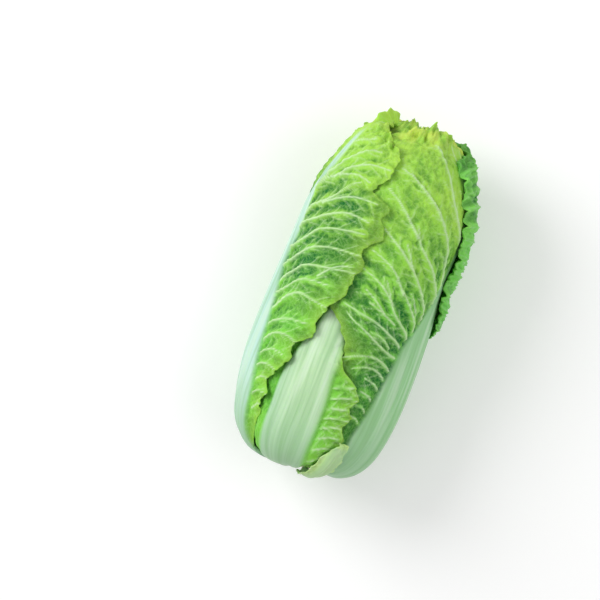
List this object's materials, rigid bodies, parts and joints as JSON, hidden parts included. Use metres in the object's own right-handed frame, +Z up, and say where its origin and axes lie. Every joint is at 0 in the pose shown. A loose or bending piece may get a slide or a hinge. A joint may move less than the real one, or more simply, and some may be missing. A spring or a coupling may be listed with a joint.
{
  "type": "napa cabbage",
  "caption": "cut head of napa cabbage lying on its side, long barrel of crinkled leaves with broad pale ribs wrapped round a short stem, ruffled at the crown",
  "frame": {"origin": "middle of the head's footprint, on the surface that it lies on", "axes": "+Z is up, away from the surface that the head lies on; +Y runs along the head from the cut stem to the crown; +X is to the right as seen from above with the crown ahead"},
  "size_m": [0.1466, 0.3052, 0.14],
  "materials": {
    "stem": "matt pale cut stem, yellowing at the rim",
    "heart": "satin pale yellow tight leaves",
    "inner_leaf": "satin yellow-green leaf, paler rib",
    "tucked_leaf": "satin light green leaf, white rib",
    "outer_leaf": "satin green leaf with raised pale veins, smooth white rib",
    "dark_leaf": "satin dark green frilled leaf, white rib",
    "pale_leaf": "satin pale green broken leaf base"
  },
  "bodies": {
    "root": {"stem": "stem", "heart": "heart", "inner_leaf_1": "inner_leaf", "inner_leaf_2": "inner_leaf", "inner_leaf_3": "inner_leaf", "inner_leaf_4": "inner_leaf", "tucked_leaf_right": "tucked_leaf", "tucked_leaf_left": "tucked_leaf", "outer_leaf_low_left": "outer_leaf", "outer_leaf_top": "outer_leaf", "outer_leaf_right": "outer_leaf", "outer_leaf_low_right": "dark_leaf", "outer_leaf_left": "outer_leaf", "outer_leaf_under": "outer_leaf", "broken_leaf_base": "pale_leaf"}
  },
  "joints": []
}
